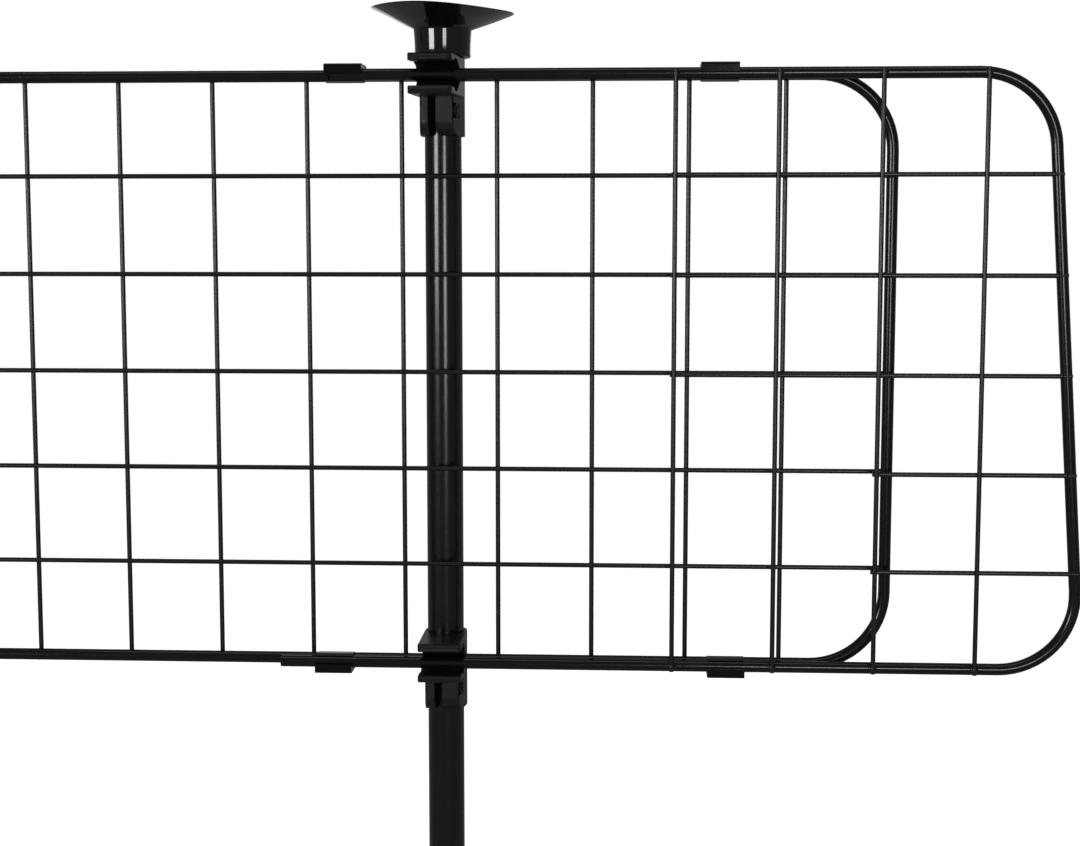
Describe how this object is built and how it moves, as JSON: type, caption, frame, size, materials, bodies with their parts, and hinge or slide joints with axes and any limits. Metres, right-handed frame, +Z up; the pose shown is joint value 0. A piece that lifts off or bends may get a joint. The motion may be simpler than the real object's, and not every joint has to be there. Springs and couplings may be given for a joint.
{
  "type": "car dog guard",
  "caption": "Welded wire barrier for a car boot with two sliding wings, clamped to two telescopic poles that end in suction cups.",
  "frame": {"origin": "on the floor plane, midway between the two pole axes", "axes": "+X to the right across the car, -Y towards the viewer of the picture, +Z up along the poles"},
  "size_m": [1.078, 0.073, 0.8939],
  "materials": {
    "powder_coat": "gloss",
    "clip_plastic": "semi-gloss",
    "clamp_plastic": "satin",
    "soft_rubber": "satin",
    "black_steel": "satin"
  },
  "bodies": {
    "guard_panel": {"main_panel": "powder_coat", "right_top_clamp": "clamp_plastic", "right_top_clamp_screw": "black_steel", "right_top_clamp_nut": "black_steel", "right_bottom_clamp": "clamp_plastic", "right_bottom_clamp_screw": "black_steel", "right_bottom_clamp_nut": "black_steel", "left_top_clamp": "clamp_plastic", "left_top_clamp_screw": "black_steel", "left_top_clamp_nut": "black_steel", "left_bottom_clamp": "clamp_plastic", "left_bottom_clamp_screw": "black_steel", "left_bottom_clamp_nut": "black_steel"},
    "right_wing": {"right_wing_panel": "powder_coat", "right_inner_top_clip": "clip_plastic", "right_inner_bottom_clip": "clip_plastic", "right_outer_top_clip": "clip_plastic", "right_outer_bottom_clip": "clip_plastic"},
    "right_pole": {"right_outer_tube": "powder_coat", "right_roof_cup": "soft_rubber", "right_lock_collar": "clamp_plastic"},
    "right_knob": {"right_lock_knob": "clamp_plastic", "right_lock_stud": "black_steel"},
    "right_foot": {"right_inner_tube": "powder_coat", "right_slide_bush": "clamp_plastic", "right_floor_cup": "soft_rubber"},
    "left_wing": {"left_wing_panel": "powder_coat", "left_inner_top_clip": "clip_plastic", "left_inner_bottom_clip": "clip_plastic", "left_outer_top_clip": "clip_plastic", "left_outer_bottom_clip": "clip_plastic"},
    "left_pole": {"left_outer_tube": "powder_coat", "left_roof_cup": "soft_rubber", "left_lock_collar": "clamp_plastic"},
    "left_knob": {"left_lock_knob": "clamp_plastic", "left_lock_stud": "black_steel"},
    "left_foot": {"left_inner_tube": "powder_coat", "left_slide_bush": "clamp_plastic", "left_floor_cup": "soft_rubber"}
  },
  "joints": [
    {"name": "right_wing_slide", "type": "slide", "parent": "guard_panel", "child": "right_wing", "axis": [1, 0, 0], "range_m": [-0.097, 0.022]},
    {"name": "right_pole_slide", "type": "slide", "parent": "guard_panel", "child": "right_pole", "axis": [0, 0, 1], "range_m": [0, 0.205]},
    {"name": "right_foot_slide", "type": "slide", "parent": "right_pole", "child": "right_foot", "axis": [0, 0, -1], "range_m": [-0.25, 0.2]},
    {"name": "right_knob_turn", "type": "hinge", "parent": "right_pole", "child": "right_knob", "pos_m": [0.214, -0.026, 0.2915], "axis": [0, -1, 0], "range_deg": [0, 360]},
    {"name": "left_wing_slide", "type": "slide", "parent": "guard_panel", "child": "left_wing", "axis": [-1, 0, 0], "range_m": [-0.097, 0.022]},
    {"name": "left_pole_slide", "type": "slide", "parent": "guard_panel", "child": "left_pole", "axis": [0, 0, 1], "range_m": [0, 0.205]},
    {"name": "left_foot_slide", "type": "slide", "parent": "left_pole", "child": "left_foot", "axis": [0, 0, -1], "range_m": [-0.25, 0.2]},
    {"name": "left_knob_turn", "type": "hinge", "parent": "left_pole", "child": "left_knob", "pos_m": [-0.214, -0.026, 0.2915], "axis": [0, -1, 0], "range_deg": [0, 360]}
  ]
}
